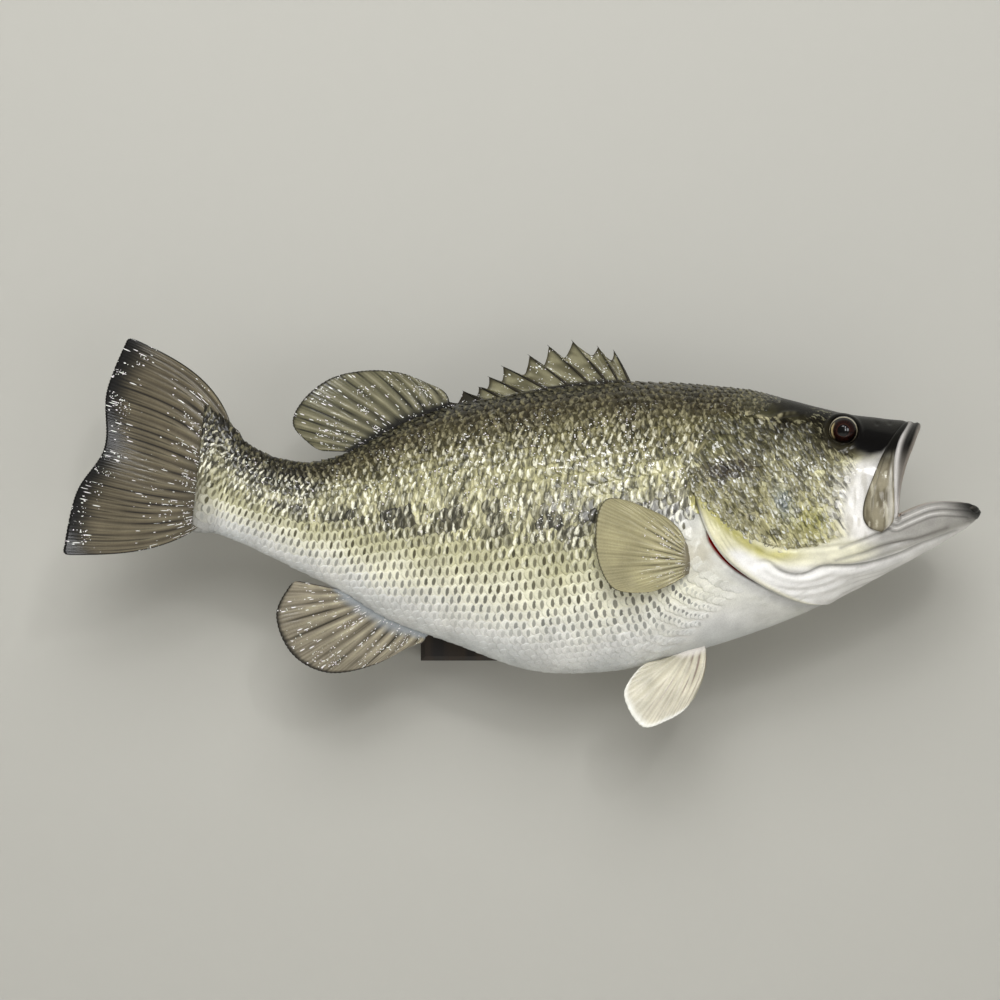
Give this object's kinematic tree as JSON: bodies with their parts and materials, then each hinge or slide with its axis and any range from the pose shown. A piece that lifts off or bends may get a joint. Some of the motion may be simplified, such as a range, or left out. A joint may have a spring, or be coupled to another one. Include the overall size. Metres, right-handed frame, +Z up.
{
  "type": "mounted largemouth bass",
  "caption": "Life-size mounted largemouth bass on a hidden wooden wall block, body gently curved, mouth open and fins spread.",
  "frame": {"origin": "middle of the face with which the back block meets the wall", "axes": "+X along the fish towards its head, +Y into the wall, +Z up"},
  "size_m": [0.5565, 0.1186, 0.2381],
  "materials": {
    "skin": "painted scaled skin under clear gloss lacquer",
    "fin": "stiff lacquered fin membrane with rays",
    "eye": "polished glass eye, brown-red iris",
    "block": "dark stained, satin",
    "hanger": "zinc plated"
  },
  "bodies": {
    "root": {"head": "skin", "lower_jaw": "skin", "throat": "skin", "trunk": "skin", "tail_stem": "skin", "gill_cover_right": "skin", "gill_cover_left": "skin", "maxilla_right": "skin", "maxilla_left": "skin", "eye_right": "eye", "eye_left": "eye", "pectoral_fin_right": "fin", "pectoral_fin_left": "fin", "pelvic_fin_right": "fin", "pelvic_fin_left": "fin", "dorsal_fin_spiny": "fin", "dorsal_fin_soft": "fin", "caudal_fin": "fin", "anal_fin": "fin", "back_block": "block", "hanger_plate": "hanger"}
  },
  "joints": []
}
